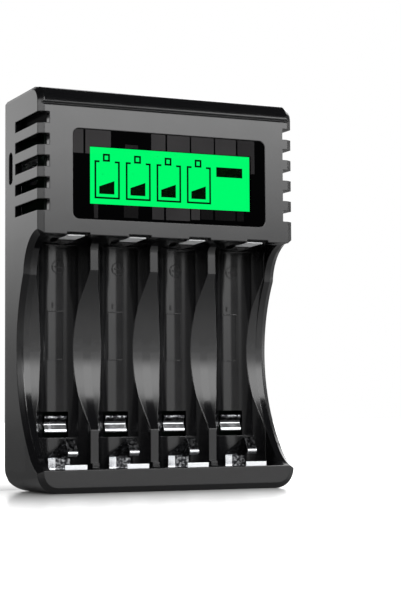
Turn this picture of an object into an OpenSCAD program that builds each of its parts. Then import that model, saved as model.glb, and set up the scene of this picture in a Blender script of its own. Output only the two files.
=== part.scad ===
// Four-bay charger for AA and AAA cells, standing on its lower end.
// The front face looks along -Y, the width runs along X, and the base lies at z = 0.
// Depths below are counted from the plane of the front face towards the back.

/* [Body] */
// Width of the body beside the outer bays
flank_w = 3.2; // [3:0.1:5]
// Height of the front face above the display window
brim_h = 6; // [5.5:0.1:8]
// Room between the bays and the main board
rear_room = 3.55; // [3.4:0.05:5]
// Thickness of the side, top and lower walls
wall = 1.8; // [1.4:0.1:2.2]
// Thickness of the front wall behind the display window
front_wall = 2.2; // [2:0.1:2.6]
// Width of the bevel along the front edges
edge_w = 1.5; // [1:0.1:1.8]
// Depth of the bevel along the front edges
edge_d = 0.95; // [0.6:0.05:1.2]
// Radius of the two lower corners
low_corner_r = 5.2; // [4:0.1:6]
// Radius of the two upper corners
top_corner_r = 1; // [0.5:0.1:2]
// Radius of the edge between base and back
heel_r = 6.5; // [5:0.5:8]
// Radius of the round that joins the front face to the top face
band_h = 4.7; // [4:0.1:5.5]
// Depth of the groove across the front under that round
seam_d = 0.45; // [0.3:0.05:0.5]
// Thickness of the back cover
cover_t = 1.5; // [1.2:0.1:2]
// Reveal of the back cover inside the outline of the body
cover_reveal = 0.2; // [0.1:0.05:0.4]

/* [Bays] */
// Diameter of an AA cell
aa_cell_d = 14.5; // [14:0.1:14.7]
// Length of an AA cell over its button
aa_cell_l = 50.5; // [50:0.1:51]
// Diameter of an AAA cell
aaa_cell_d = 10.5; // [10:0.1:10.7]
// Length of an AAA cell over its button
aaa_cell_l = 44.5; // [44:0.1:45]
// Clearance round an AA cell in its channel
aa_clear = 0.2; // [0.1:0.05:0.3]
// Clearance round an AAA cell in its groove
aaa_clear = 0.5; // [0.3:0.05:0.6]
// Width of the rib between two bays
rib_w = 2; // [1.6:0.1:2.2]
// Depth of the front edge of the ribs
rib_d = 10.9; // [10:0.1:11.2]
// Depth of the axis of an AA cell
aa_axis_d = 9.6; // [9.2:0.1:10]
// How much deeper the axis of an AAA cell lies
aaa_sink = 3.2; // [3:0.1:3.4]
// Wall behind the AAA groove
groove_wall = 1.3; // [1:0.1:1.5]
// Height of the lip in front of the lower end of the bays
lip_h = 6; // [5.5:0.1:6.5]
// Thickness of the lip
lip_t = 1.6; // [1.2:0.1:2]
// Height of the floor at the lower end of the bays
bay_floor = 3; // [2.6:0.1:3.4]
// Radius of the long finger scoop across the bays
scoop_r = 38; // [37:0.1:40]
// Greatest depth of the long finger scoop
scoop_depth = 16.35; // [16:0.05:16.8]
// Radius of the short scoop below the front face
brow_r = 10.3; // [10:0.1:10.8]
// Radius of the short scoop above the lip
sill_r = 15.25; // [14.5:0.05:16]

/* [Display] */
// Width of the display window
window_w = 54.6; // [52:0.1:57]
// Height of the display window
window_h = 23.1; // [22:0.1:24]
// Corner radius of the display window
window_r = 1.8; // [1:0.1:3]
// Thickness of the display window
window_t = 1; // [0.8:0.1:1.2]
// Height of the front face below the display window
window_sill = 4.3; // [4:0.1:5]
// Width of the display glass
lcd_w = 48.4; // [46:0.1:50]
// Height of the display glass
lcd_h = 18; // [17:0.1:18.6]
// Thickness of the display glass
lcd_t = 1.6; // [1.2:0.1:2]
// Shift of the display to the right of the centre
lcd_shift = 0.4; // [0:0.1:0.8]
// Thickness of the light plate behind the glass
light_t = 2.2; // [1.8:0.1:2.4]

/* [Vents] */
// Slots on each side
vent_count = 5; // [3:1:5]
// Distance from one slot to the next
vent_pitch = 5.54; // [5.2:0.02:5.6]
// Height of a slot
vent_h = 2.83; // [2.2:0.01:3]
// Depth from the front face to the far end of a slot
vent_depth = 18.5; // [14:0.5:19]
// Distance from the top face to the first slot
vent_top = 7; // [6.5:0.1:7.5]
// How far a slot cuts in from the side face
vent_cut = 2.9; // [2.6:0.1:3.2]

/* [Inlet] */
// Height of the centre of the inlet
inlet_z = 84.3; // [82:0.1:86]
// Width of the inlet opening along the height
inlet_w = 8.4; // [8.2:0.1:9]
// Opening of the inlet across the depth
inlet_t = 3.1; // [3:0.1:3.3]

/* [Contacts] */
// Thickness of the contact strip
strip_t = 0.3; // [0.25:0.05:0.35]
// Width of the negative contacts
strip_w = 6; // [5.5:0.1:6.2]
// Width of the positive contacts
plus_w = 4.6; // [4.2:0.1:5]
// Height of the free AA contact above the lip
leaf_rise = 7.6; // [7.2:0.1:8]
// How far a full-size cell presses its negative contact down
preload = 0.3; // [0.2:0.05:0.5]
// Height of the ridge pressed into a positive contact
ridge_h = 0.5; // [0.4:0.05:0.7]

/* [Boards and screws] */
// Thickness of both circuit boards
board_t = 1.2; // [1:0.1:1.4]
// Diameter of the shank of a case screw
screw_d = 2.4; // [2.2:0.1:2.6]
// Diameter of the head of a case screw
screw_head_d = 4.6; // [4:0.1:4.8]
// Diameter of the shank of a board screw
small_screw_d = 1.8; // [1.6:0.1:2]
// Clearance between a screw and its hole
screw_clear = 0.05; // [0.03:0.01:0.1]

/* [Hidden] */

$fn = 48;
over = 1;
bay_count = 4;

aa_r = aa_cell_d / 2 + aa_clear;
aaa_r = aaa_cell_d / 2 + aaa_clear;
aaa_axis_d = aa_axis_d + aaa_sink;
bay_pitch = 2 * aa_r + rib_w;
half_w = (bay_count - 1) / 2 * bay_pitch + aa_r + flank_w;
body_w = 2 * half_w;
groove_d = aaa_axis_d + aaa_r;
rear_d = groove_d + groove_wall;
web_d = aa_axis_d + aa_r + strip_t / 2;

crest_z = lip_h + leaf_rise;
plus_face_z = crest_z - preload + aa_cell_l;
plus_plate_z = plus_face_z + ridge_h;
ceiling_z = plus_plate_z + strip_t + 0.3;
notch_h = 0.8;
plus_rest_d = 9.6;
plus_lift = 0.4;
notch_d = 1.7;
deck_z = ceiling_z + 1.9;
aaa_top_z = plus_face_z - aaa_cell_l + preload;
ledge_z = aaa_top_z - 5.8;

scoop_z = lip_h + 30;
scoop_axis_d = scoop_depth - scoop_r;
brow_z = ceiling_z - 10;
brow_axis_d = 0.65;
sill_axis_d = -5;
sill_bite = 0.15;
sill_reach = scoop_r - sill_r + sill_bite;
sill_z = scoop_z - sqrt(pow(sill_reach, 2) - pow(sill_axis_d - scoop_axis_d, 2));
sill_join_z = scoop_z - scoop_r * (scoop_z - sill_z) / sill_reach;

board_d = rear_d + rear_room;
split_d = board_d + board_t + 1.3;
body_d = split_d + cover_t;

window_z = ceiling_z + window_sill + window_h / 2;
band_z = window_z + window_h / 2 + brim_h;
body_h = band_z + band_h;
window_gap = 0.15;
window_d = 0.2;
pocket_d = window_d + window_t;
lcd_gap = 0.05;
lcd_d = pocket_d + lcd_gap;
light_d = lcd_d + lcd_t + lcd_gap;
display_board_d = light_d + light_t + lcd_gap;
lcd_z = window_z - 0.3;

case_screw_x = half_w - 5.6;
case_screw_xz = [[-case_screw_x, body_h - 7], [case_screw_x, body_h - 7],
                 [-bay_pitch, lip_h + 5], [bay_pitch, lip_h + 5]];
board_screw_xz = [[-bay_pitch, deck_z - 22.8], [bay_pitch, deck_z - 22.8],
                  [-19, body_h - 7.4], [19, body_h - 7.4]];
display_screw_xz = [for (sx = [-1, 1], sz = [-1, 1]) [sx * (half_w - 6), window_z + sz * (window_h / 2 - 2.35)]];
boss_r = 3.3;
post_r = 2.2;
boss_end_d = board_d + board_t / 2;

function bay_x(i) = (i - (bay_count - 1) / 2) * bay_pitch;

// Points of a path whose inner corners are rounded, each reaching `reach` along its two sides.
function unit(v) = v / norm(v);
function bend(a, p, b, reach, n) =
    [for (k = [0:n]) let (t = k / n, s = p + unit(a - p) * reach, e = p + unit(b - p) * reach)
        (1 - t) * (1 - t) * s + 2 * t * (1 - t) * p + t * t * e];
function rounded(p, reach, n = 4) =
    concat([p[0]], [for (i = [1:len(p) - 2]) each bend(p[i - 1], p[i], p[i + 1], reach, n)],
           [p[len(p) - 1]]);
function left_of(v) = [-v[1], v[0]];
function side_point(p, i, o) =
    let (n = len(p),
         u = unit(p[min(i + 1, n - 1)] - p[max(i - 1, 0)]))
    p[i] + left_of(u) * o;

// Sheet strip of thickness strip_t that follows a path of [depth, height] points.
module strip(path, width) {
    n = len(path);
    outline = concat([for (i = [0:n - 1]) side_point(path, i, strip_t / 2)],
                     [for (i = [n - 1:-1:0]) side_point(path, i, -strip_t / 2)]);
    along_x(width) polygon(outline);
}

// Extrudes a [depth, height] outline along X, centred on x = 0.
module along_x(width) {
    rotate([90, 0, 90]) linear_extrude(width, center = true) children();
}

// Extrudes an [x, height] outline from depth d0 to depth d1.
module along_depth(d0, d1) {
    translate([0, d1, 0]) rotate([90, 0, 0]) linear_extrude(d1 - d0) children();
}

module block(x0, x1, d0, d1, z0, z1) {
    translate([x0, d0, z0]) cube([x1 - x0, d1 - d0, z1 - z0]);
}

module pin(r, d0, d1, x, z) {
    translate([x, d0, z]) rotate([-90, 0, 0]) cylinder(h = d1 - d0, r = r);
}

module in_frame() {
    translate([0, -body_d / 2, 0]) children();
}

// Region outside a quarter circle, for rounding a corner of an outline.
module corner_waste(cx, cy, r, sx, sy) {
    translate([cx, cy]) difference() {
        translate([sx > 0 ? 0 : -r - over, sy > 0 ? 0 : -r - over]) square(r + over);
        circle(r);
    }
}

module front_outline(inset) {
    low_r = low_corner_r - inset;
    top_r = top_corner_r - inset;
    difference() {
        translate([-half_w + inset, inset]) square([body_w - 2 * inset, body_h - 2 * inset]);
        for (s = [-1, 1]) {
            corner_waste(s * (half_w - low_corner_r), low_corner_r, low_r, s, -1);
            corner_waste(s * (half_w - top_corner_r), body_h - top_corner_r, top_r, s, 1);
        }
    }
}

// Depth and height of the low crown where the top face runs out at the back.
crown_d = 4.5;
crown_h = 0.6;

module side_outline() {
    seam_h = seam_d * 1.1;
    difference() {
        square([body_d, body_h]);
        corner_waste(body_d - heel_r, heel_r, heel_r, 1, -1);
        translate([body_d - crown_d, body_h - crown_h]) scale([crown_d, crown_h]) corner_waste(0, 0, 1, 1, 1);
        corner_waste(band_h, band_z, band_h, -1, 1);
        polygon([[-over, band_z - seam_h], [0, band_z - seam_h], [seam_d, band_z], [0, band_z + seam_h],
                 [-over, band_z + seam_h]]);
    }
}

// Bevel along the two front side edges, on over the round at the top, the lower front edge and its corners.
module edge_waste() {
    for (s = [-1, 1]) {
        mirror([s < 0 ? 1 : 0, 0, 0]) {
            translate([0, 0, low_corner_r]) linear_extrude(band_z - low_corner_r)
                polygon([[half_w - edge_w, 0], [half_w, edge_d], [half_w + over, edge_d],
                         [half_w + over, -over], [half_w - edge_w, -over]]);
            intersection() {
                block(half_w - low_corner_r, half_w + over, -over, edge_d, -over, low_corner_r);
                difference() {
                    block(0, body_w, -over, edge_d, -over, body_h);
                    translate([half_w - low_corner_r, 0, low_corner_r]) rotate([-90, 0, 0])
                        cylinder(h = edge_d, r1 = low_corner_r - edge_w, r2 = low_corner_r);
                }
            }
            difference() {
                block(half_w - edge_w, half_w + over, -over, band_h, band_z, body_h + over);
                translate([half_w - edge_w, band_h, band_z]) rotate([0, 90, 0])
                    cylinder(h = edge_w, r1 = band_h, r2 = band_h - edge_d, $fn = 96);
            }
        }
    }
    along_x(body_w - 2 * low_corner_r)
        polygon([[0, edge_w], [edge_d, 0], [edge_d, -over], [-over, -over], [-over, edge_w]]);
}

module body_solid() {
    difference() {
        intersection() {
            along_x(body_w) side_outline();
            along_depth(0, body_d) front_outline(0);
        }
        edge_waste();
    }
}

// Round scoop across the whole width, flared at both side faces to carry the bevel on.
module scoop_cutter(r, d, z) {
    flare = edge_w + over;
    translate([0, d, z]) rotate([0, 90, 0]) {
        cylinder(h = body_w - 2 * edge_w, r = r, center = true, $fn = 144);
        for (s = [0, 1]) {
            mirror([0, 0, s]) translate([0, 0, half_w - edge_w])
                cylinder(h = flare, r1 = r, r2 = r + edge_d * flare / edge_w, $fn = 144);
        }
    }
}

// The short scoop above the lip bites a little deeper than the long one where they meet, so no step is left.
module scoops() {
    intersection() {
        scoop_cutter(scoop_r, scoop_axis_d, scoop_z);
        block(-body_w, body_w, -body_d, body_d, sill_join_z, brow_z + 2);
    }
    scoop_cutter(brow_r, brow_axis_d, brow_z);
    scoop_cutter(sill_r, sill_axis_d, sill_z);
}

module bay_waste(x) {
    translate([x, 0, 0]) {
        block(-aa_r, aa_r, -over, aa_axis_d, lip_h, ceiling_z);
        block(-aa_r, aa_r, lip_t, aa_axis_d, bay_floor, lip_h);
        translate([0, aa_axis_d, bay_floor]) cylinder(h = ceiling_z - bay_floor, r = aa_r);
        translate([0, aaa_axis_d, ledge_z]) cylinder(h = ceiling_z - 1 - ledge_z, r = aaa_r);
        block(-strip_w / 2 - 0.5, strip_w / 2 + 0.5, aaa_axis_d, rear_d + over, ledge_z, aaa_top_z + 0.9);
        block(-1.4, 1.4, aa_axis_d, rear_d + over, lip_h + 0.3, lip_h + 2.3);
        block(-plus_w / 2 - 0.85, plus_w / 2 + 0.85, -over, notch_d, ceiling_z - over, ceiling_z + notch_h);
        block(-plus_w / 2 - 0.3, plus_w / 2 + 0.3, -over, plus_rest_d + 0.7,
              ceiling_z - over, ceiling_z + plus_lift + 0.3);
        block(-plus_w / 2 - 0.3, plus_w / 2 + 0.3, 14.2, 15.4, ceiling_z, deck_z + over);
    }
}

// Ribs stop short of the front, over a low foot, and meet the ceiling in a hollow round.
module rib_waste() {
    reach = bay_x(bay_count - 1) + aa_r;
    foot_h = 1.2;
    top_r = 2.4;
    waist_r = scoop_r + 4.2;
    block(-reach, reach, -over, rib_d - 1, lip_h, lip_h + foot_h + over);
    along_x(2 * reach) difference() {
        translate([-over, lip_h + foot_h]) square([rib_d + over, ceiling_z - lip_h - foot_h]);
        corner_waste(rib_d - top_r, ceiling_z - top_r, top_r, 1, 1);
    }
    intersection() {
        translate([0, scoop_depth - waist_r, scoop_z + 0.5]) rotate([0, 90, 0])
            cylinder(h = 2 * reach, r = waist_r, center = true, $fn = 144);
        block(-reach, reach, -over, body_d, lip_h + foot_h, ceiling_z - top_r);
    }
}

module cavity() {
    inner_w = body_w - 2 * wall;
    slab_d = aa_axis_d + aa_r + 0.75;
    difference() {
        intersection() {
            union() {
                along_x(inner_w)
                    polygon([[front_wall, deck_z], [front_wall, band_z - 1], [front_wall + 1.4, body_h - wall],
                             [body_d + over, body_h - wall], [body_d + over, deck_z]]);
                block(-inner_w / 2, inner_w / 2, slab_d, body_d + over, wall, deck_z + over);
            }
            along_x(body_w) difference() {
                square([body_d + 2 * over, body_h]);
                corner_waste(body_d - heel_r, heel_r, heel_r - wall, 1, -1);
            }
            along_depth(0, body_d + 2 * over) difference() {
                translate([-inner_w / 2, wall]) square([inner_w, body_h - 2 * wall]);
                for (s = [-1, 1]) {
                    corner_waste(s * (half_w - low_corner_r), low_corner_r, low_corner_r - wall, s, -1);
                }
            }
        }
        for (i = [0:bay_count - 1]) {
            translate([bay_x(i), aaa_axis_d, 0]) cylinder(h = ceiling_z + 1, r = aaa_r + groove_wall);
        }
    }
}

module vent_waste() {
    for (i = [0:vent_count - 1], s = [0, 1]) {
        top = body_h - vent_top - i * vent_pitch;
        mirror([s, 0, 0]) block(half_w - vent_cut, half_w + over, -over, vent_depth, top - vent_h, top);
    }
}

module inlet_waste() {
    r = inlet_t / 2 - 0.2;
    cd = board_d - 1.3;
    translate([-half_w - over, 0, 0]) rotate([90, 0, 90]) linear_extrude(wall + 2 * over) {
        difference() {
            translate([cd - inlet_t / 2, inlet_z - inlet_w / 2]) square([inlet_t, inlet_w]);
            for (sy = [-1, 1], sz = [-1, 1]) {
                corner_waste(cd + sy * (inlet_t / 2 - r), inlet_z + sz * (inlet_w / 2 - r), r, sy, sz);
            }
        }
    }
}

module rounded_panel(w, h, r, z) {
    difference() {
        translate([-w / 2, z - h / 2]) square([w, h]);
        for (sx = [-1, 1], sz = [-1, 1]) {
            corner_waste(sx * (w / 2 - r), z + sz * (h / 2 - r), r, sx, sz);
        }
    }
}

module display_waste() {
    along_depth(-over, pocket_d) translate([lcd_shift, 0]) rounded_panel(window_w, window_h, window_r, window_z);
    block(lcd_shift - lcd_w / 2 - 0.3, lcd_shift + lcd_w / 2 + 0.3, 0, front_wall + over,
          lcd_z - lcd_h / 2 - 0.3, lcd_z + lcd_h / 2 + 0.3);
}

module front_shell() {
    color("#1d1e20") in_frame() {
        difference() {
            union() {
                difference() {
                    intersection() {
                        body_solid();
                        block(-body_w, body_w, -over, split_d, -over, body_h + over);
                    }
                    cavity();
                    display_waste();
                }
                shell_posts();
            }
            scoops();
            rib_waste();
            for (i = [0:bay_count - 1]) bay_waste(bay_x(i));
            vent_waste();
            inlet_waste();
            for (p = case_screw_xz) pin(screw_d / 2 + screw_clear, boss_end_d - 8, body_d, p[0], p[1]);
            for (p = board_screw_xz) pin(small_screw_d / 2 + screw_clear, board_d - 4, body_d, p[0], p[1]);
            for (p = display_screw_xz)
                pin(small_screw_d / 2 + screw_clear, front_wall - 0.6, body_d, p[0], p[1]);
        }
    }
}

// Bosses for the case screws and posts for the two boards.
module shell_posts() {
    slab_d = aa_axis_d + aa_r;
    for (p = case_screw_xz) {
        start = p[1] > deck_z ? front_wall - 0.2 : slab_d;
        pin(boss_r - 0.8, start, boss_end_d, p[0], p[1]);
    }
    for (p = board_screw_xz) {
        start = p[1] > deck_z ? front_wall - 0.2 : slab_d;
        pin(post_r, start, board_d, p[0], p[1]);
    }
    for (p = display_screw_xz) pin(post_r, front_wall - 0.2, display_board_d, p[0], p[1]);
}

module back_shell() {
    rim = 1;
    rim_h = 1.2;
    rim_gap = 0.15;
    head_floor_d = boss_end_d + 1.1;
    color("#1b1c1e") in_frame() {
        difference() {
            union() {
                intersection() {
                    body_solid();
                    along_depth(split_d, body_d) front_outline(cover_reveal);
                }
                for (p = case_screw_xz) pin(boss_r, boss_end_d, split_d + 0.2, p[0], p[1]);
                cover_rim(rim, rim_h, rim_gap);
            }
            for (p = case_screw_xz) {
                pin(screw_d / 2 + 0.2, boss_end_d - over, body_d + over, p[0], p[1]);
                pin(screw_head_d / 2 + 0.2, head_floor_d, body_d + over, p[0], p[1]);
            }
        }
    }
}

// Rim that locates the cover inside the side and top walls of the body.
module cover_rim(rim, rim_h, gap) {
    inner = half_w - wall - gap;
    low = heel_r + 2;
    high = body_h - wall - gap;
    for (s = [0, 1]) {
        mirror([s, 0, 0]) block(inner - rim, inner, split_d - rim_h, split_d + 0.2, low, body_h - 12);
    }
    block(-inner + 8, inner - 8, split_d - rim_h, split_d + 0.2, high - rim, high);
}

module display_window() {
    color("#0b0c0e") in_frame() {
        along_depth(window_d, pocket_d) translate([lcd_shift, 0])
            rounded_panel(window_w - 2 * window_gap, window_h - 2 * window_gap, window_r - window_gap, window_z);
    }
}

module lcd_panel() {
    color("#19e06a") in_frame() {
        block(lcd_shift - lcd_w / 2, lcd_shift + lcd_w / 2, lcd_d, lcd_d + lcd_t,
              lcd_z - lcd_h / 2, lcd_z + lcd_h / 2);
    }
}

// Two rows of pins that join the display glass to its board.
module lcd_pins() {
    count = 14;
    pitch = 2.54;
    color("#c9ccd0") in_frame() {
        for (i = [0:count - 1], s = [-1, 1]) {
            x = lcd_shift + (i - (count - 1) / 2) * pitch;
            z = lcd_z + s * (lcd_h / 2 - 0.7);
            block(x - 0.25, x + 0.25, lcd_d + lcd_t, display_board_d, z - 0.15, z + 0.15);
        }
    }
}

module light_plate() {
    color("#dff5e6") in_frame() {
        block(lcd_shift - lcd_w / 2, lcd_shift + lcd_w / 2, light_d, light_d + light_t,
              lcd_z - lcd_h / 2 + 1.6, lcd_z + lcd_h / 2 - 1.6);
    }
}

module display_board() {
    w = body_w - 2 * wall - 3.8;
    h = window_h - 0.1;
    color("#2f6b3a") in_frame() {
        difference() {
            block(-w / 2, w / 2, display_board_d, display_board_d + board_t, window_z - h / 2, window_z + h / 2);
            for (p = display_screw_xz)
                pin(small_screw_d / 2 + 0.15, 0, body_d, p[0], p[1]);
        }
    }
}

// Pan-head screw whose head seats at depth d and whose shank points to the front.
module screw(x, z, d, shank_d, shank_l, head_d, head_h) {
    slot_w = head_d * 0.16;
    difference() {
        union() {
            pin(shank_d / 2, d - shank_l, d, x, z);
            pin(head_d / 2, d, d + head_h, x, z);
        }
        for (a = [0, 90]) {
            translate([x, d + head_h, z]) rotate([0, a, 0])
                cube([head_d * 0.62, head_h * 1.1, slot_w], center = true);
        }
    }
}

module display_screws() {
    color("#b8bbc0") in_frame() {
        for (p = display_screw_xz)
            screw(p[0], p[1], display_board_d + board_t, small_screw_d, board_t + 2.6, 3.4, 1);
    }
}

module board_screws() {
    color("#b8bbc0") in_frame() {
        for (p = board_screw_xz) screw(p[0], p[1], board_d + board_t, small_screw_d, board_t + 3.4, 3.4, 1);
    }
}

module case_screws() {
    color("#9a9da2") in_frame() {
        for (p = case_screw_xz) screw(p[0], p[1], boss_end_d + 1.1, screw_d, 7.5, screw_head_d, 1.2);
    }
}

ribbon_x = 12;
ribbon_w = 9;
ribbon_z = deck_z + 5;
socket_h = 2.2;

// The two flat sockets that hold the ends of the ribbon.
module ribbon_sockets() {
    color("#e8e4d6") in_frame() {
        block(ribbon_x - 6, ribbon_x + 6, display_board_d + board_t, display_board_d + board_t + socket_h,
              ribbon_z - 2.2, ribbon_z + 2.2);
        block(ribbon_x - 6, ribbon_x + 6, board_d - socket_h, board_d, ribbon_z + 3.8, ribbon_z + 8.2);
    }
}

module display_ribbon() {
    start_d = display_board_d + board_t + socket_h;
    end_d = board_d - socket_h;
    mid = (start_d + end_d) / 2;
    path = rounded([[start_d, ribbon_z], [mid + 1, ribbon_z], [mid - 1, ribbon_z + 6], [end_d, ribbon_z + 6]], 1.8);
    color("#c9b48a") in_frame() translate([ribbon_x, 0, 0]) strip(path, ribbon_w);
}

module main_board() {
    w = body_w - 2 * wall - 0.8;
    low = wall + 2.8;
    high = body_h - wall - 1.6;
    boss_room = boss_r + 0.3;
    color("#2a6136") in_frame() {
        difference() {
            block(-w / 2, w / 2, board_d, board_d + board_t, low, high);
            for (p = case_screw_xz) {
                if (p[1] > deck_z)
                    block(p[0] > 0 ? p[0] - boss_room : -body_w, p[0] > 0 ? body_w : p[0] + boss_room,
                          0, body_d, p[1] - boss_room, body_h);
                else
                    pin(boss_room, 0, body_d, p[0], p[1]);
            }
            for (p = board_screw_xz) pin(small_screw_d / 2 + 0.15, 0, body_d, p[0], p[1]);
        }
    }
}

usb_w = 7.5;
usb_t = 2.5;
usb_l = 5.6;
usb_mouth_x = -half_w + 1.4;

module usb_outline(inset) {
    cd = board_d - usb_t / 2;
    slope = 0.9;
    h = usb_w / 2 - inset;
    polygon([[cd + usb_t / 2 - inset, inlet_z - h], [cd + usb_t / 2 - inset, inlet_z + h],
             [cd - usb_t / 2 + slope, inlet_z + h], [cd - usb_t / 2 + inset, inlet_z + h - slope],
             [cd - usb_t / 2 + inset, inlet_z - h + slope], [cd - usb_t / 2 + slope, inlet_z - h]]);
}

module usb_socket() {
    skin = 0.3;
    color("#c4c7cb") in_frame() translate([usb_mouth_x, 0, 0]) rotate([90, 0, 90]) {
        difference() {
            linear_extrude(usb_l) usb_outline(0);
            translate([0, 0, -over]) linear_extrude(usb_l - skin + over) usb_outline(skin);
        }
    }
}

module usb_insert() {
    skin = 0.3;
    gap = 0.02;
    cd = board_d - usb_t / 2;
    base_l = 1.4;
    color("#101113") in_frame() {
        block(usb_mouth_x + usb_l - skin - gap - base_l, usb_mouth_x + usb_l - skin - gap,
              cd - usb_t / 2 + skin + 0.1, cd + usb_t / 2 - skin - 0.05,
              inlet_z - usb_w / 2 + 1.3, inlet_z + usb_w / 2 - 1.3);
        block(usb_mouth_x + 0.8, usb_mouth_x + usb_l - skin - gap, cd - 0.1, cd + 0.6, inlet_z - 1.9, inlet_z + 1.9);
    }
}

chip_z = deck_z + 18;

module controller_chip() {
    color("#17181a") in_frame() {
        block(-5, 5, board_d - 1.5, board_d - 0.1, chip_z - 5, chip_z + 5);
        for (i = [0:9], s = [-1, 1]) {
            block(s * 5 - (s > 0 ? 0 : 1), s * 5 + (s > 0 ? 1 : 0), board_d - 0.5, board_d,
                  chip_z - 4 + i * 0.86, chip_z - 3.6 + i * 0.86);
        }
    }
}

module charge_transistors() {
    color("#1a1b1d") in_frame() {
        for (i = [0:bay_count - 1])
            block(bay_x(i) - 2.5, bay_x(i) + 2.5, board_d - 1.6, board_d, deck_z - 16.8, deck_z - 12.8);
    }
}

module inductor() {
    color("#34363a") in_frame()
        block(bay_pitch, bay_pitch + 8, board_d - 4, board_d, chip_z - 2, chip_z + 6);
}

module capacitors() {
    color("#aeb2b8") in_frame() {
        for (x = [-24, -16]) pin(3.1, board_d - 6.8, board_d, x, chip_z + 4);
    }
}

module chip_resistors() {
    color("#d8d2c4") in_frame() {
        for (i = [0:5]) block(-13 + i * 4.4, -11.2 + i * 4.4, board_d - 0.6, board_d, chip_z - 12, chip_z - 11);
    }
}

// Positive contact: a plate under the ceiling with a raised front flap, a pressed ridge, and a leg up to the board.
module positive_contact(i) {
    leg_z = deck_z + 1.2;
    plate_mid = plus_plate_z + strip_t / 2;
    path = rounded([[notch_d, plate_mid + plus_lift + 0.3], [plus_rest_d, plate_mid + plus_lift],
                    [plus_rest_d + 0.8, plate_mid], [14.8, plate_mid], [14.8, leg_z],
                    [board_d - 0.02, leg_z]], 0.4);
    color("#d4d7db") in_frame() translate([bay_x(i), 0, 0]) {
        strip(path, plus_w);
        intersection() {
            along_x(2.6) polygon([[plus_rest_d + 0.4, plate_mid + 0.1], [plus_rest_d + 0.4, plus_plate_z],
                                  [plus_rest_d + 1, plus_face_z], [13, plus_face_z],
                                  [13.8, plus_plate_z], [13.8, plate_mid]]);
            translate([0, 7, plus_face_z + 1.5]) rotate([-90, 0, 0]) cylinder(h = 8, r = 1.5);
        }
    }
}

root_z = lip_h + 1.3;

// AA contact: one strip folded back under itself, with a tapered sprung tongue and a tail to the board.
module aa_contact(i) {
    heel_d = aa_axis_d + 5;
    leaf_tip_w = 2.6;
    base = rounded([[lip_t + 0.5, lip_h + 1.1], [lip_t + 0.5, lip_h - 0.6], [heel_d, lip_h - 0.6],
                    [heel_d, lip_h + 2.6]], 0.5);
    leaf = rounded([[heel_d, lip_h + 1.6], [heel_d, lip_h + 2.9], [6.3, crest_z], [4.2, lip_h + 4],
                    [4.8, lip_h + 3.2]], 0.6);
    color("#d4d7db") in_frame() translate([bay_x(i), 0, 0]) {
        strip(base, strip_w);
        intersection() {
            strip(leaf, strip_w);
            linear_extrude(body_h)
                polygon([[-strip_w / 2, heel_d + over], [strip_w / 2, heel_d + over],
                         [strip_w / 2, heel_d - 0.4], [leaf_tip_w / 2, 7.2], [leaf_tip_w / 2, 0],
                         [-leaf_tip_w / 2, 0], [-leaf_tip_w / 2, 7.2], [-strip_w / 2, heel_d - 0.4]]);
        }
        block(-1, 1, heel_d, board_d - 0.05, root_z - strip_t / 2, root_z + strip_t / 2);
    }
}

// AAA contact: a strip that stands out of its window with a hollow face and turns back into it below.
module aaa_contact(i) {
    root = aaa_top_z - strip_t / 2;
    path = rounded([[board_d - 0.05, root], [web_d + 0.1, root], [web_d, root - 0.56], [web_d + 0.8, root - 2.15],
                    [web_d, root - 3.74], [web_d, root - 4.3], [rear_d + 0.3, root - 4.3]], 0.27);
    color("#d4d7db") in_frame() translate([bay_x(i), 0, 0]) strip(path, strip_w);
}

front_shell();
back_shell();
display_window();
lcd_panel();
lcd_pins();
light_plate();
display_board();
display_screws();
ribbon_sockets();
display_ribbon();
main_board();
usb_socket();
usb_insert();
controller_chip();
charge_transistors();
inductor();
capacitors();
chip_resistors();
board_screws();
case_screws();
positive_contact(0);  // positive_contact_1
positive_contact(1);  // positive_contact_2
positive_contact(2);  // positive_contact_3
positive_contact(3);  // positive_contact_4
aa_contact(0);  // aa_contact_1
aa_contact(1);  // aa_contact_2
aa_contact(2);  // aa_contact_3
aa_contact(3);  // aa_contact_4
aaa_contact(0);  // aaa_contact_1
aaa_contact(1);  // aaa_contact_2
aaa_contact(2);  // aaa_contact_3
aaa_contact(3);  // aaa_contact_4
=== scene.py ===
"""A black upright charger for four round cells, standing on a pale floor."""
import math

import bmesh
import bpy
from mathutils import Matrix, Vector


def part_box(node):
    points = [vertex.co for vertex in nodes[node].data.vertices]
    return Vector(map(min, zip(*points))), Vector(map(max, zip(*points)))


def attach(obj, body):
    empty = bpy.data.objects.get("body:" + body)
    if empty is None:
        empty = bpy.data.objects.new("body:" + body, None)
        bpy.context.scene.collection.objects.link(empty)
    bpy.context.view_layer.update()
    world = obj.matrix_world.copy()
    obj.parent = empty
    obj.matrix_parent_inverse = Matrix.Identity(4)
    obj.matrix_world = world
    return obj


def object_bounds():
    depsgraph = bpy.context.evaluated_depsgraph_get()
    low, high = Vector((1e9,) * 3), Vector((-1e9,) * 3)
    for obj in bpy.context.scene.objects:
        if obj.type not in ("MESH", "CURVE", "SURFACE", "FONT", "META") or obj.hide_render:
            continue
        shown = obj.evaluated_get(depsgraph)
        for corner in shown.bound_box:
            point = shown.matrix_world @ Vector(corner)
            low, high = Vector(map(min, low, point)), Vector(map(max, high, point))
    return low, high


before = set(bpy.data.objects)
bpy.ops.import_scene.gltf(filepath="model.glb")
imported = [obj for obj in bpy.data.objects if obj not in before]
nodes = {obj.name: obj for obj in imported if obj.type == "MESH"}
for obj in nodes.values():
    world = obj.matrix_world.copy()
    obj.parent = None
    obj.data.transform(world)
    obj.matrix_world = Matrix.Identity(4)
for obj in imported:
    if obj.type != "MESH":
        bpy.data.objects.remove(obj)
cad_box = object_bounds()
scene = bpy.context.scene
MM = 0.001


# Camera, at the photograph's viewing angle

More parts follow.
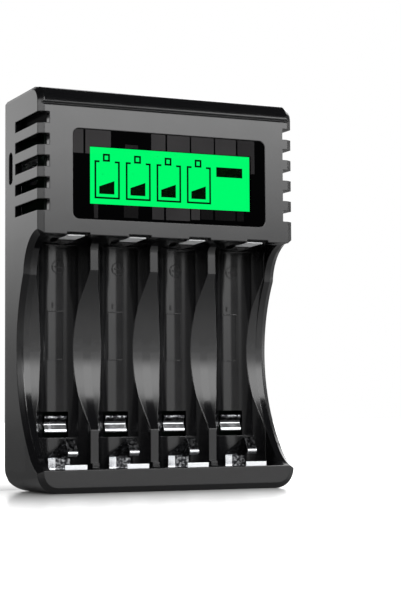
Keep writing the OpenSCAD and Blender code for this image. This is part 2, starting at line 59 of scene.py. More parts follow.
CAMERA_PLACE = (-0.1693, -0.3953, 0.0201)
CAMERA_YAW = -24.98
CAMERA_PITCH = 3.955
CAMERA_ROLL = -0.38
CAMERA_LENS = 96.97
CAMERA_SENSOR = 36
CAMERA_CLIP = (0.01, 50)


def add_camera():
    data = bpy.data.cameras.new("camera")
    data.sensor_fit = "AUTO"
    data.sensor_width = CAMERA_SENSOR
    data.lens = CAMERA_LENS
    data.clip_start, data.clip_end = CAMERA_CLIP
    cam = bpy.data.objects.new("camera", data)
    scene.collection.objects.link(cam)
    turn = (Matrix.Rotation(math.radians(CAMERA_YAW), 4, "Z")
            @ Matrix.Rotation(math.radians(90 + CAMERA_PITCH), 4, "X")
            @ Matrix.Rotation(math.radians(CAMERA_ROLL), 4, "Z"))
    cam.matrix_world = Matrix.Translation(CAMERA_PLACE) @ turn
    scene.camera = cam


add_camera()


# Shader building blocks

# Inputs of the two values and output of a mix node, by what it mixes
MIX_SOCKETS = {"FLOAT": (2, 3, 0), "RGBA": (6, 7, 2)}
EDGE_SAMPLES = 6


def new_material(name):
    mat = bpy.data.materials.new(name)
    mat.use_nodes = True
    return mat, mat.node_tree, mat.node_tree.nodes["Principled BSDF"]


def feed(tree, value, socket):
    """Link the output of another node to the socket, or set the socket to a plain value."""
    if isinstance(value, bpy.types.NodeSocket):
        tree.links.new(value, socket)
    else:
        socket.default_value = value


def object_space(tree):
    return tree.nodes.new("ShaderNodeTexCoord").outputs["Object"]


def axes_of(tree, vector):
    node = tree.nodes.new("ShaderNodeSeparateXYZ")
    feed(tree, vector, node.inputs["Vector"])
    return node.outputs


def math_node(tree, operation, *values):
    node = tree.nodes.new("ShaderNodeMath")
    node.operation = operation
    for value, socket in zip(values, node.inputs):
        feed(tree, value, socket)
    return node.outputs["Value"]


def vector_steps(tree, vector, steps):
    """Chain of vector operations, each with its second vector where it takes one."""
    for operation, *second in steps:
        node = tree.nodes.new("ShaderNodeVectorMath")
        node.operation = operation
        for value, socket in zip([vector] + second, node.inputs):
            feed(tree, value, socket)
        vector = node.outputs["Value" if operation in ("LENGTH", "DOT_PRODUCT") else "Vector"]
    return vector


def mixed(tree, kind, share, low, high):
    """Blend of two numbers or two colours: low where the share is zero, high where it is one."""
    first, second, result = MIX_SOCKETS[kind]
    node = tree.nodes.new("ShaderNodeMix")
    node.data_type = kind
    for value, index in ((share, 0), (low, first), (high, second)):
        feed(tree, value, node.inputs[index])
    return node.outputs[result]


def to_range(tree, value, low, high, at_low=0.3, at_high=0.7):
    """Low where the value is at_low or less, high where it is at_high or more, even between them."""
    node = tree.nodes.new("ShaderNodeMapRange")
    node.inputs["From Min"].default_value = at_low
    node.inputs["From Max"].default_value = at_high
    node.inputs["To Min"].default_value = low
    node.inputs["To Max"].default_value = high
    feed(tree, value, node.inputs["Value"])
    return node.outputs["Result"]


def inside_box(tree, values, spans):
    """One where each value lies inside its span in mm, zero elsewhere."""
    inside = 1.0
    for value, (low, high) in zip(values, spans):
        step = math_node(tree, "COMPARE", value, (low + high) / 2 * MM, (high - low) / 2 * MM)
        inside = math_node(tree, "MULTIPLY", inside, step)
    return inside


def grey(tree, value):
    """Colour with the same value in its three channels."""
    node = tree.nodes.new("ShaderNodeCombineColor")
    for channel in node.inputs:
        feed(tree, value, channel)
    return node.outputs["Color"]


def noise(tree, space, scale, detail, stretch=None):
    node = tree.nodes.new("ShaderNodeTexNoise")
    node.inputs["Scale"].default_value = scale
    node.inputs["Detail"].default_value = detail
    if stretch:
        mapping = tree.nodes.new("ShaderNodeMapping")
        mapping.inputs["Scale"].default_value = stretch
        feed(tree, space, mapping.inputs["Vector"])
        space = mapping.outputs["Vector"]
    feed(tree, space, node.inputs["Vector"])
    return node.outputs["Fac"]


def bump(tree, height, distance, strength, base=None):
    node = tree.nodes.new("ShaderNodeBump")
    node.inputs["Distance"].default_value = distance
    node.inputs["Strength"].default_value = strength
    feed(tree, height, node.inputs["Height"])
    if base:
        feed(tree, base, node.inputs["Normal"])
    return node.outputs["Normal"]


def rounded_edges(tree, radius):
    node = tree.nodes.new("ShaderNodeBevel")
    node.samples = EDGE_SAMPLES
    node.inputs["Radius"].default_value = radius
    return node.outputs["Normal"]


def shaded(color, factor):
    return tuple(min(1, factor * c) for c in color[:3]) + (1,)


def grained_color(tree, grains, low, high):
    node = tree.nodes.new("ShaderNodeValToRGB")
    node.color_ramp.elements[0].color = low
    node.color_ramp.elements[1].color = high
    feed(tree, grains, node.inputs["Fac"])
    return node.outputs["Color"]


# Materials. Places are in mm, heights of bumps and radii of edges in m. A noise is its scale, its detail and
# its stretch where it has one. A bump is its height and its strength. An edge only looks rounded

HOUSING_COLOR = (0.003, 0.003, 0.0034, 1)
HOUSING_IOR = 1.5
HOUSING_ROUGH = (0.10, 0.15)
HOUSING_ROUGH_NOISE = (90, 4)
HOUSING_EDGE = 0.0003
RIPPLE_NOISE = (160, 2)
RIPPLE_BUMP = (0.00002, 0.35)

# The bays behind the front edges of the ribs are satin
SATIN_ADDS = 0.07
SATIN_FROM_Y = -3.5
SATIN_TO_Z = 65.2
BAY_COUNT = 4
BAY_PITCH = 16.9
RIB_HALF = 1.1

# The hollow behind the display and the vents is matte inside
CAVITY_ADDS = 0.7
CAVITY = ((-33.9, 33.9), (-11.2, 11.5), (66.5, 100.5))


def housing_material():
    """Deep black moulding, glossy outside and satin in the bays, with a faint ripple from the mould."""
    mat, tree, bsdf = new_material("housing_gloss")
    space = object_space(tree)
    x, y, z = axes_of(tree, space)
    bsdf.inputs["Base Color"].default_value = HOUSING_COLOR
    bsdf.inputs["IOR"].default_value = HOUSING_IOR
    deep = math_node(tree, "GREATER_THAN", y, SATIN_FROM_Y * MM)
    low = math_node(tree, "LESS_THAN", z, SATIN_TO_Z * MM)
    from_rib = math_node(tree, "PINGPONG", x, BAY_PITCH / 2 * MM)
    beside = math_node(tree, "GREATER_THAN", from_rib, RIB_HALF * MM)
    satin = math_node(tree, "MULTIPLY", math_node(tree, "MULTIPLY", deep, low), beside)
    inner = inside_box(tree, (x, y, z), CAVITY)
    duller = math_node(tree, "ADD", math_node(tree, "MULTIPLY", satin, SATIN_ADDS),
                       math_node(tree, "MULTIPLY", inner, CAVITY_ADDS))
    grain = to_range(tree, noise(tree, space, *HOUSING_ROUGH_NOISE), *HOUSING_ROUGH)
    feed(tree, math_node(tree, "ADD", grain, duller), bsdf.inputs["Roughness"])
    ripple = noise(tree, space, *RIPPLE_NOISE)
    normal = bump(tree, ripple, *RIPPLE_BUMP, rounded_edges(tree, HOUSING_EDGE))
    feed(tree, normal, bsdf.inputs["Normal"])
    return mat


# The display window is clear over the lit field, up to the share FIELD_CLEAR
FIELD_X = (-22.15, 23.65)
FIELD_Z = (73.2, 87.95)
FIELD_CLEAR = 0.985
PANE_COLOR = (0.0004, 0.0004, 0.0005, 1)
PANE_SPECULAR = 0.002
PANE_ROUGH = 0.03
PANE_NOISE = (60, 2)
PANE_BUMP = (0.000008, 0.4)

# Dim bars beside the field, as (x0, x1, z0, z1, share of the full bar colour), clouded between two shares
BAR_COLOR = (0.0275, 0.0265, 0.0272, 1)
BAR_CLOUD_NOISE = (70, 2)
BAR_CLOUD = (0.75, 1.0)
WINDOW_BARS = [
    (-27.1, -23.95, 86.0, 92.5, 1.0), (-23.4, -16.45, 86.0, 92.5, 1.0), (-12.5, -8.9, 86.0, 88.9, 0.4),
    (-5.2, -1.2, 86.0, 92.5, 1.0), (-0.7, 5.75, 86.0, 92.5, 1.0), (6.2, 12.7, 86.0, 92.5, 1.0),
    (13.15, 19.2, 86.0, 92.5, 0.97), (19.7, 24.7, 83.3, 92.5, 0.6), (-21.1, -20.0, 69.5, 73.5, 0.5),
    (-12.9, -8.9, 70.0, 73.5, 0.2), (-5.0, -1.7, 69.9, 73.5, 0.75), (-1.1, 5.7, 69.9, 73.5, 0.8),
    (6.1, 8.6, 70.3, 73.5, 0.8), (8.9, 12.4, 70.5, 73.5, 0.17), (13.0, 18.9, 70.5, 73.5, 0.16),
    (19.4, 21.4, 70.5, 73.5, 0.14),
]


def window_material():
    """Thin smoked pane, black but for the clear field; dim bars stand beside the field."""
    mat, tree, bsdf = new_material("window_pane")
    space = object_space(tree)
    x, _, z = axes_of(tree, space)
    bars = 0.0
    for x0, x1, z0, z1, depth in WINDOW_BARS:
        bar = math_node(tree, "MULTIPLY", inside_box(tree, (x, z), ((x0, x1), (z0, z1))), depth)
        bars = math_node(tree, "ADD", bars, bar)
    cloud = to_range(tree, noise(tree, space, *BAR_CLOUD_NOISE), *BAR_CLOUD)
    tone = mixed(tree, "RGBA", math_node(tree, "MULTIPLY", bars, cloud), PANE_COLOR, BAR_COLOR)
    feed(tree, tone, bsdf.inputs["Base Color"])
    bsdf.inputs["Specular IOR Level"].default_value = PANE_SPECULAR
    bsdf.inputs["Roughness"].default_value = PANE_ROUGH
    feed(tree, bump(tree, noise(tree, space, *PANE_NOISE), *PANE_BUMP), bsdf.inputs["Normal"])
    clear = tree.nodes.new("ShaderNodeBsdfTransparent")
    mix = tree.nodes.new("ShaderNodeMixShader")
    field = inside_box(tree, (x, z), (FIELD_X, FIELD_Z))
    feed(tree, math_node(tree, "MULTIPLY", field, FIELD_CLEAR), mix.inputs["Fac"])
    feed(tree, bsdf.outputs["BSDF"], mix.inputs[1])
    feed(tree, clear.outputs["BSDF"], mix.inputs[2])
    feed(tree, mix.outputs["Shader"], tree.nodes["Material Output"].inputs["Surface"])
    return mat


METAL_EDGE = 0.00014
SCRATCH_BUMP = (0.000006, 0.5)
NICKEL_BRIGHT = (0.66, 0.67, 0.69, 1)
# Colour of the painted shade on the spring leaves
NICKEL_PAINTED_SHADE = (0.015, 0.015, 0.017, 1)
NICKEL_METALLIC = 0.95
NICKEL_ROUGH = (0.16, 0.28)
NICKEL_NOISE = (900, 3, (1, 0.12, 0.12))

# The painted shade on the spring leaves is mottled: its lowest and full share, and the noise levels that
# give them
SHADE_MOTTLE_NOISE = (1300, 3)
SHADE_MOTTLE = (0.6, 1.0, 0.35, 0.55)

# Between these heights the spring leaves get painted shade where they face upward, over a span of the upward
# part of the surface normal
SHADED_SLOPE_Z = (8.8, 14.0)
SHADED_SLOPE_SPAN = (0.15, 0.4)

# They get painted shade in these boxes too: span across a bay pitch, in depth and in height
PAINTED_SHADE_PATCHES = [
    ((-0.1, 17.0), (-6.9, 1.6), (8.65, 13.8)),
    ((7.4, 11.8), (-1.0, 1.6), (5.0, 8.65)),
    ((-0.1, 17.0), (-7.0, 6.0), (17.9, 21.0)),
]

# A positive plate is bright in front of this depth and has painted shade behind it, over a short way to both
# sides
TAB_TO_Y = -5.2
TAB_FADE = 0.25
PLATE_BRIGHT = (0.95, 0.96, 0.97, 1)
# Colour of the painted shade on the plate behind the tab
PLATE_PAINTED_SHADE = (0.03, 0.03, 0.03, 1)
PLATE_ROUGH = (0.38, 0.6)
PLATE_NOISE = (2600, 3)
PLATE_BUMP = (0.00002, 0.6)


def scratched(tree, bsdf, lines, rough):
    """Roughness and shallow scratches from the same lines."""
    feed(tree, to_range(tree, lines, *rough), bsdf.inputs["Roughness"])
    normal = bump(tree, lines, *SCRATCH_BUMP, rounded_edges(tree, METAL_EDGE))
    feed(tree, normal, bsdf.inputs["Normal"])


def metal_material(name, color, rough, lines):
    mat, tree, bsdf = new_material(name)
    bsdf.inputs["Base Color"].default_value = color
    bsdf.inputs["Metallic"].default_value = 1.0
    scratched(tree, bsdf, noise(tree, object_space(tree), *lines), rough)
    return mat


def contact_material():
    """Nickel spring leaves, bright on the tabs in front, with mottled painted shade on and beside the
    sloping faces.
    """
    mat, tree, bsdf = new_material("contact_nickel")
    space = object_space(tree)
    x, y, z = axes_of(tree, space)
    across = math_node(tree, "FLOORED_MODULO", x, BAY_PITCH * MM)
    upward = axes_of(tree, tree.nodes.new("ShaderNodeTexCoord").outputs["Normal"])["Z"]
    # Painted shade: darker where the leaves face upward between two heights and in the listed boxes, mottled
    # by noise
    dark = math_node(tree, "MULTIPLY", to_range(tree, upward, 0, 1, *SHADED_SLOPE_SPAN),
                     inside_box(tree, (z,), (SHADED_SLOPE_Z,)))
    for spans in PAINTED_SHADE_PATCHES:
        dark = math_node(tree, "MAXIMUM", dark, inside_box(tree, (across, y, z), spans))
    shade_mottle = to_range(tree, noise(tree, space, *SHADE_MOTTLE_NOISE), *SHADE_MOTTLE)
    tone = mixed(tree, "RGBA", math_node(tree, "MULTIPLY", dark, shade_mottle), NICKEL_BRIGHT, NICKEL_PAINTED_SHADE)
    feed(tree, tone, bsdf.inputs["Base Color"])
    bsdf.inputs["Metallic"].default_value = NICKEL_METALLIC
    scratched(tree, bsdf, noise(tree, space, *NICKEL_NOISE), NICKEL_ROUGH)
    return mat


def plate_material():
    """Satin plate, bright on the tab in front, with painted shade on the part that lies in its slot."""
    mat, tree, bsdf = new_material("contact_plate_satin")
    space = object_space(tree)
    speckle = noise(tree, space, *PLATE_NOISE)
    # Painted shade: the plate's colour falls to dark behind the tab
    painted_shade = to_range(tree, axes_of(tree, space)["Y"], 0, 1, (TAB_TO_Y - TAB_FADE) * MM,
                       (TAB_TO_Y + TAB_FADE) * MM)
    feed(tree, mixed(tree, "RGBA", painted_shade, PLATE_BRIGHT, PLATE_PAINTED_SHADE), bsdf.inputs["Base Color"])
    feed(tree, to_range(tree, speckle, *PLATE_ROUGH), bsdf.inputs["Roughness"])
    normal = bump(tree, speckle, *PLATE_BUMP, rounded_edges(tree, METAL_EDGE))
    feed(tree, normal, bsdf.inputs["Normal"])
    return mat


# Plain materials vary between these shares of their colour, and the lit one from its share up to its colour
PLAIN_NOISE = (300, 3)
PLAIN_BUMP = (0.00001, 0.3)
PLAIN_SHADES = (0.8, 1.15)
LIT_NOISE = (40, 2)
LIT_SHADE = 0.96
LIT_BASE_COLOR = (0.0, 0.01, 0.002, 1)
LIT_ROUGH = 0.5


def plain_material(name, color, rough, specular=0.5):
    mat, tree, bsdf = new_material(name)
    grains = noise(tree, object_space(tree), *PLAIN_NOISE)
    tone = grained_color(tree, grains, *(shaded(color, share) for share in PLAIN_SHADES))
    feed(tree, tone, bsdf.inputs["Base Color"])
    bsdf.inputs["Roughness"].default_value = rough
    bsdf.inputs["Specular IOR Level"].default_value = specular
    feed(tree, bump(tree, grains, *PLAIN_BUMP), bsdf.inputs["Normal"])
    return mat


def glowing_material(name, color, strength):
    mat, tree, bsdf = new_material(name)
    grains = noise(tree, object_space(tree), *LIT_NOISE)
    tone = grained_color(tree, grains, shaded(color, LIT_SHADE), color)
    bsdf.inputs["Base Color"].default_value = LIT_BASE_COLOR
    bsdf.inputs["Specular IOR Level"].default_value = 0.0
    bsdf.inputs["Roughness"].default_value = LIT_ROUGH
    feed(tree, tone, bsdf.inputs["Emission Color"])
    bsdf.inputs["Emission Strength"].default_value = strength
    return mat


HOUSING = housing_material()
WINDOW = window_material()
CONTACT = contact_material()
PLATE = plate_material()
STEEL = metal_material("plated_steel", (0.55, 0.56, 0.58, 1), rough=(0.22, 0.38), lines=(500, 3))
CAN = metal_material("can_aluminium", (0.70, 0.71, 0.73, 1), rough=(0.25, 0.4), lines=(400, 3, (1, 0.2, 1)))
BOARD = plain_material("board_dark_green", (0.002, 0.009, 0.004), rough=0.55, specular=0.1)
DARK = plain_material("component_black", (0.006, 0.006, 0.007), rough=0.5, specular=0.15)
PALE = plain_material("insulator_pale", (0.62, 0.58, 0.48), rough=0.5)
MILKY = plain_material("light_plate_milky", (0.6, 0.8, 0.66), rough=0.4)
LCD_EDGE = plain_material("display_surround", (0.004, 0.004, 0.005), rough=0.12)
LIT = glowing_material("display_lit_green", (0.0, 1.0, 0.16, 1), strength=1.0)
INK = plain_material("display_segments", (0.001, 0.004, 0.001), rough=0.5, specular=0.0)

FINISH = {
    "front_shell": HOUSING, "back_shell": HOUSING, "display_window": WINDOW, "lcd_panel": LCD_EDGE,
    "lcd_pins": CONTACT, "light_plate": MILKY, "display_board": BOARD, "display_screws": STEEL,
    "ribbon_sockets": DARK, "display_ribbon": DARK, "main_board": BOARD, "usb_socket": STEEL,
    "usb_insert": DARK, "controller_chip": DARK, "charge_transistors": DARK, "inductor": DARK,
    "capacitors": CAN, "chip_resistors": PALE, "board_screws": STEEL, "case_screws": STEEL,
}
for name, obj in nodes.items():
    material = FINISH.get(name, PLATE if name.startswith("positive") else CONTACT)
    obj.data.materials.clear()
    obj.data.materials.append(material)


# New pieces

# Corners of each face of a box, counted as boxes() lists them
BOX_FACES = ((0, 1, 3, 2), (4, 6, 7, 5), (0, 4, 5, 1), (2, 3, 7, 6), (0, 2, 6, 4), (1, 5, 7, 3))


def add_mesh(name, verts, faces, material, body):
    data = bpy.data.meshes.new(name)
    data.from_pydata([tuple(c * MM for c in v) for v in verts], [], faces)
    data.update()
    obj = bpy.data.objects.new(name, data)
    scene.collection.objects.link(obj)
    data.materials.append(material)
    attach(obj, body)
    return obj


def boxes(rows):
    """Closed boxes from rows of (x0, x1, y0, y1, z0, z1)."""
    verts = []
    faces = []
    for x0, x1, y0, y1, z0, z1 in rows:
        n = len(verts)
        verts += [(x, y, z) for x in (x0, x1) for y in (y0, y1) for z in (z0, z1)]
        faces += [tuple(n + i for i in face) for face in BOX_FACES]
    return verts, faces


def add_boxes(name, rows, material):
    verts, faces = boxes(rows)
    return add_mesh(name, verts, faces, material, "charger")


# Lit field of the display on the front of the display glass, and the dark segments that are rooted in it
# and stand out of it, in mm

GLASS_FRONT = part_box("lcd_panel")[0].y / MM
FIELD_RISE = 0.02
INK_RISE = 0.035
INK_ROOT = 0.01
INK_SPAN = (GLASS_FRONT - INK_RISE, GLASS_FRONT - INK_ROOT)

# Cell symbols, as shares of the width and the height of the lit field
CELL_LEFT = 0.0349
CELL_PITCH = 0.1884
CELL_W = 0.152
CELL_TOP, CELL_FOOT = 0.231, 0.896
LINE_W, LINE_H = 0.0105, 0.032
STUB_W = 0.030
CAP_SPAN = (0.0505, 0.0925)
CAP_TOP, CAP_FOOT = 0.108, 0.245
LEVEL_SPAN = (0.028, 0.119)
LEVEL_FOOT = 0.812
LEVEL_TOPS = (0.682, 0.577)
LABEL_BAR = (0.787, 0.954, 0.218, 0.394)


def field_x(t):
    return FIELD_X[0] + t * (FIELD_X[1] - FIELD_X[0])


def field_z(t):
    return FIELD_Z[1] - t * (FIELD_Z[1] - FIELD_Z[0])


def ink_box(x0, x1, z0, z1):
    """Row for one dark segment between two widths and two heights, as shares of the lit field."""
    return (field_x(x0), field_x(x1)) + INK_SPAN + (field_z(z1), field_z(z0))


def add_cell_symbol(number):
    """Outline of a cell that is open at the top, its cap, and the level in it, which rises to one side."""
    left = CELL_LEFT + number * CELL_PITCH
    right = left + CELL_W
    cap_left, cap_right = left + CAP_SPAN[0], left + CAP_SPAN[1]
    add_boxes(f"display_cell_case_{number + 1}", [
        ink_box(left, left + LINE_W, CELL_TOP, CELL_FOOT),
        ink_box(right - LINE_W, right, CELL_TOP, CELL_FOOT),
        ink_box(left + LINE_W, right - LINE_W, CELL_FOOT - LINE_H, CELL_FOOT),
        ink_box(left + LINE_W, left + STUB_W, CELL_TOP, CELL_TOP + LINE_H),
        ink_box(right - STUB_W, right - LINE_W, CELL_TOP, CELL_TOP + LINE_H),
    ], INK)
    add_boxes(f"display_cell_cap_{number + 1}", [
        ink_box(cap_left, cap_left + LINE_W, CAP_TOP, CAP_FOOT),
        ink_box(cap_right - LINE_W, cap_right, CAP_TOP, CAP_FOOT),
        ink_box(cap_left + LINE_W, cap_right - LINE_W, CAP_TOP, CAP_TOP + LINE_H),
        ink_box(cap_left + LINE_W, cap_right - LINE_W, CAP_FOOT - LINE_H, CAP_FOOT),
    ], INK)
    level_left, level_right = left + LEVEL_SPAN[0], left + LEVEL_SPAN[1]
    outline = [(level_left, LEVEL_FOOT), (level_right, LEVEL_FOOT), (level_right, LEVEL_TOPS[1]),
               (level_left, LEVEL_TOPS[0])]
    verts = [(field_x(u), y, field_z(v)) for y in INK_SPAN for u, v in outline]
    faces = [(0, 1, 2, 3), (7, 6, 5, 4)] + [(i, i + 4, (i + 1) % 4 + 4, (i + 1) % 4) for i in range(4)]
    add_mesh(f"display_cell_level_{number + 1}", verts, faces, INK, "charger")


add_boxes("display_field", [FIELD_X + (GLASS_FRONT - FIELD_RISE, GLASS_FRONT) + FIELD_Z], LIT)
for number in range(BAY_COUNT):
    add_cell_symbol(number)
add_boxes("display_label_bar", [ink_box(*LABEL_BAR)], INK)


# Raised polarity marks on the round floors of the four narrow grooves, in mm. Their places run along the
# floor from its deepest line, then up

BAY_X = [(bay - (BAY_COUNT - 1) / 2) * BAY_PITCH for bay in range(BAY_COUNT)]
GROOVE_R = 5.75
GROOVE_AXIS_Y = -0.9
MARK_RISE = 0.16
MARK_ROOT = 0.08
MARK_LINE = 0.3
PLUS_PLACE = (1.2, 58.5)
PLUS_RING_R = 1.75
PLUS_ARM = 1.0
PLUS_LINE_HALF = 0.17
PLUS_GAP = 0.2
MINUS_BAR = (-0.5, -0.15, 47.8, 49.1)
SIZE_FRAME = (-2.0, 2.6, 34.0, 47.0)
RING_POINTS = 36
FRAME_SIDE_POINTS = 8
STROKE_SIDE_POINTS = 4
STROKE_DRAWN_IN = 0.48


def groove_point(bay_x, arc, z, lift):
    angle = arc / GROOVE_R
    r = GROOVE_R - lift
    return (bay_x + r * math.sin(angle), GROOVE_AXIS_Y + r * math.cos(angle), z)


def slab(bay_x, outer, inner):
    """Closed band between two loops of (arc, height) points with the same count, bent to the groove."""
    n = len(outer)
    verts = [groove_point(bay_x, a, z, lift) for lift in (-MARK_ROOT, MARK_RISE) for loop in (outer, inner)
             for a, z in loop]
    faces = []
    for i in range(n):
        j = (i + 1) % n
        faces.append((i, j, n + j, n + i))
        faces.append((2 * n + i, 3 * n + i, 3 * n + j, 2 * n + j))
        faces.append((i, 2 * n + i, 2 * n + j, j))
        faces.append((n + i, n + j, 3 * n + j, 3 * n + i))
    return verts, faces


def ring(arc, z, r, width):
    turns = [2 * math.pi * i / RING_POINTS for i in range(RING_POINTS)]
    return [[(arc + q * math.cos(t), z + q * math.sin(t)) for t in turns] for q in (r, r - width)]


def frame_loops(arc0, arc1, z0, z1, width, n=FRAME_SIDE_POINTS):
    """Outer and inner loop of a rectangular frame, with points along the level sides so that they bend."""
    loops = []
    for inset in (0, width):
        a0, a1, b0, b1 = arc0 + inset, arc1 - inset, z0 + inset, z1 - inset
        steps = [i / n for i in range(n)]
        loops.append([(a0 + t * (a1 - a0), b0) for t in steps] + [(a1, b0 + t * (b1 - b0)) for t in steps]
                     + [(a1 - t * (a1 - a0), b1) for t in steps] + [(a0, b1 - t * (b1 - b0)) for t in steps])
    return loops


def stroke(arc0, arc1, z0, z1):
    """Loops of a solid bar: the inner loop is drawn in almost to its middle line."""
    outer, inner = frame_loops(arc0, arc1, z0, z1, 0, STROKE_SIDE_POINTS)
    inset = min(arc1 - arc0, z1 - z0) * STROKE_DRAWN_IN
    return outer, [(min(max(a, arc0 + inset), arc1 - inset), min(max(z, z0 + inset), z1 - inset))
                   for a, z in inner]


def add_marks(bay, bay_x):
    arc, z = PLUS_PLACE
    line = (arc - PLUS_LINE_HALF, arc + PLUS_LINE_HALF)
    parts = {
        "plus_ring": ring(arc, z, PLUS_RING_R, MARK_LINE),
        "plus_bar": stroke(arc - PLUS_ARM, arc + PLUS_ARM, z - PLUS_LINE_HALF, z + PLUS_LINE_HALF),
        "plus_post_low": stroke(*line, z - PLUS_ARM, z - PLUS_GAP),
        "plus_post_high": stroke(*line, z + PLUS_GAP, z + PLUS_ARM),
        "minus_bar": stroke(*MINUS_BAR),
        "size_frame": frame_loops(*SIZE_FRAME, MARK_LINE),
    }
    for part, (outer, inner) in parts.items():
        verts, faces = slab(bay_x, outer, inner)
        add_mesh(f"groove_{part}_{bay}", verts, faces, HOUSING, "charger")


for bay, bay_x in enumerate(BAY_X, 1):
    add_marks(bay, bay_x)


# Floor, in m: toward the back left it grows darker and less shiny over a span of distances, a painted shadow
# of the object. Away from the object's footprint it lifts to plain white for the camera, over the reach

FLOOR_SIZE = 3.0
FLOOR_COLOR = 0.46
# Colour of the painted shadow toward the back left
FLOOR_PAINTED_SHADOW_COLOR = 0.2
FLOOR_ROUGH = 0.3
FLOOR_SHINE = 0.2
FLOOR_MIRROR = 0.5
FLOOR_MIRROR_ROUGH = 0.12
FLOOR_LIFT = 0.02
FLOOR_LIFT_REACH = 0.085
FLOOR_PAINTED_SHADOW_DIRECTION = (-0.5, 0.866, 0.0)
FLOOR_PAINTED_SHADOW_SPAN = (-0.06, 0.03)


def add_floor():
    mat, tree, bsdf = new_material("floor_white")
    bsdf.inputs["Roughness"].default_value = FLOOR_ROUGH
    # Painted shadow: the floor turns darker and less shiny toward the back left of the object
    behind = vector_steps(tree, object_space(tree), [("DOT_PRODUCT", FLOOR_PAINTED_SHADOW_DIRECTION)])
    tone = grey(tree, to_range(tree, behind, FLOOR_COLOR, FLOOR_PAINTED_SHADOW_COLOR, *FLOOR_PAINTED_SHADOW_SPAN))
    feed(tree, tone, bsdf.inputs["Base Color"])
    shine = to_range(tree, behind, FLOOR_SHINE, 0.0, *FLOOR_PAINTED_SHADOW_SPAN)
    feed(tree, shine, bsdf.inputs["Specular IOR Level"])
    seen = tree.nodes.new("ShaderNodeLightPath").outputs["Is Camera Ray"]
    mirror = tree.nodes.new("ShaderNodeBsdfGlossy")
    mirror.inputs["Roughness"].default_value = FLOOR_MIRROR_ROUGH
    feed(tree, grey(tree, math_node(tree, "MULTIPLY", seen, FLOOR_MIRROR)), mirror.inputs["Color"])
    footprint = tuple(abs(c) for c in cad_box[1][:2]) + (0,)
    clear_of = vector_steps(tree, object_space(tree), [
        ("ABSOLUTE",), ("SUBTRACT", footprint), ("MAXIMUM", (0, 0, 0)), ("LENGTH",)])
    lift = to_range(tree, clear_of, FLOOR_LIFT, 1.0, 0.0, FLOOR_LIFT_REACH)
    glow = tree.nodes.new("ShaderNodeEmission")
    feed(tree, math_node(tree, "MULTIPLY", seen, lift), glow.inputs["Strength"])
    surface = bsdf.outputs["BSDF"]
    for added in (glow.outputs["Emission"], mirror.outputs["BSDF"]):
        both = tree.nodes.new("ShaderNodeAddShader")
        feed(tree, surface, both.inputs[0])
        feed(tree, added, both.inputs[1])
        surface = both.outputs["Shader"]
    feed(tree, surface, tree.nodes["Material Output"].inputs["Surface"])
    data = bpy.data.meshes.new("floor")
    bm = bmesh.new()
    bmesh.ops.create_grid(bm, x_segments=1, y_segments=1, size=FLOOR_SIZE)
    bm.to_mesh(data)
    bm.free()
    data.materials.append(mat)
    obj = bpy.data.objects.new("floor", data)
    scene.collection.objects.link(obj)


# Upright lamps round the object: name, heading in degrees from the back by the right, width, bottom, top,
# radiance, share of it at the foot, heights between which it grows. Lengths are in m

LAMP_DISTANCE = 1.4
SOFTBOXES = [
    ("softbox_right", 147, 1.25, 0.0, 0.92, 5.2, 0.24, 0.19, 0.355),
    ("softbox_front", 191, 0.85, 0.45, 1.40, 9.0, 1.0, 0.0, 0.1),
    ("softbox_left", 221, 0.42, 0.0, 0.80, 3.0, 0.08, 0.16, 0.32),
    ("softbox_left_high", 221, 0.42, 0.80, 3.0, 1.2, 1.0, 0.0, 0.1),
    ("softbox_back", 341, 0.80, 0.0, 0.90, 0.95, 0.05, 0.10, 0.27),
    ("softbox_behind", 45, 1.10, 0.0, 1.30, 2.0, 0.4, 0.10, 0.40),
    ("strip_left", 278, 0.50, 0.01, 0.17, 6.0, 1.0, 0.0, 0.1),
    ("strip_right", 96, 0.30, 0.0, 0.60, 5.0, 1.0, 0.0, 0.1),
]


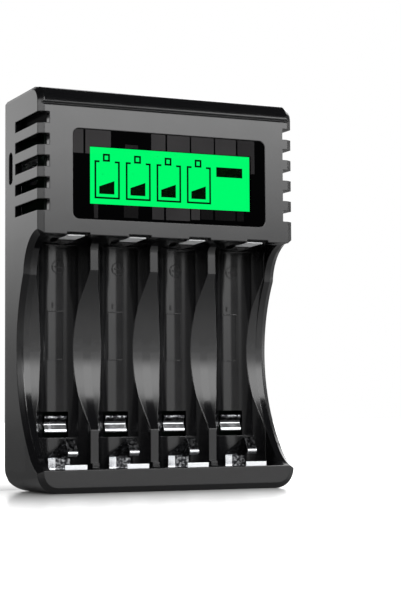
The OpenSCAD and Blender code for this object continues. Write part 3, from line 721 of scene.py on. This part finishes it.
def add_softbox(name, heading, width, bottom, top, radiance, foot, grow_from, grow_to):
    """Upright lamp that faces the middle of the floor and grows from a dim foot to its full radiance."""
    height = top - bottom
    data = bpy.data.lights.new(name, "AREA")
    data.shape = "RECTANGLE"
    data.size = width
    data.size_y = height
    data.energy = math.pi * width * height * radiance
    data.use_nodes = True
    tree = data.node_tree
    place = tree.nodes.new("ShaderNodeNewGeometry").outputs["Position"]
    strength = to_range(tree, axes_of(tree, place)["Z"], foot, 1.0, grow_from, grow_to)
    feed(tree, strength, tree.nodes["Emission"].inputs["Strength"])
    obj = bpy.data.objects.new(name, data)
    scene.collection.objects.link(obj)
    turn = math.radians(heading)
    obj.location = (LAMP_DISTANCE * math.sin(turn), LAMP_DISTANCE * math.cos(turn), (bottom + top) / 2)
    obj.rotation_euler = (math.radians(90), 0, math.radians(180 - heading))


# World: the level of its plain light, and the levels that mirrored rays see. These fall from the horizon
# to the ceiling over a span of the ray's upward part, and rise over a span of its part toward the backdrop

WORLD_LEVEL = 0.35
HORIZON_LEVEL = 0.32
CEILING_LEVEL = 0.02
CEILING_SPAN = (0.2, 0.5)
BACKDROP_LEVEL = 1.0
BACKDROP_DIRECTION = (0.39, 0.92, 0.0)
BACKDROP_SPAN = (0.86, 0.94)


def add_world():
    """White all round for the camera, plain grey for the light, dim and dark overhead for mirrored rays."""
    world = bpy.data.worlds.new("studio")
    scene.world = world
    world.use_nodes = True
    tree = world.node_tree
    back = tree.nodes["Background"]
    back.inputs["Color"].default_value = (1, 1, 1, 1)
    path = tree.nodes.new("ShaderNodeLightPath").outputs
    direction = tree.nodes.new("ShaderNodeTexCoord").outputs["Generated"]
    ceiling = to_range(tree, axes_of(tree, direction)["Z"], HORIZON_LEVEL, CEILING_LEVEL, *CEILING_SPAN)
    facing = vector_steps(tree, direction, [("DOT_PRODUCT", BACKDROP_DIRECTION)])
    backdrop = to_range(tree, facing, 0, BACKDROP_LEVEL, *BACKDROP_SPAN)
    mirrored = mixed(tree, "FLOAT", path["Is Glossy Ray"], WORLD_LEVEL,
                     math_node(tree, "MAXIMUM", ceiling, backdrop))
    seen = mixed(tree, "FLOAT", path["Is Camera Ray"], mirrored, 1.0)
    feed(tree, seen, back.inputs["Strength"])


scene.view_settings.view_transform = "Standard"
add_floor()
add_world()
for row in SOFTBOXES:
    add_softbox(*row)
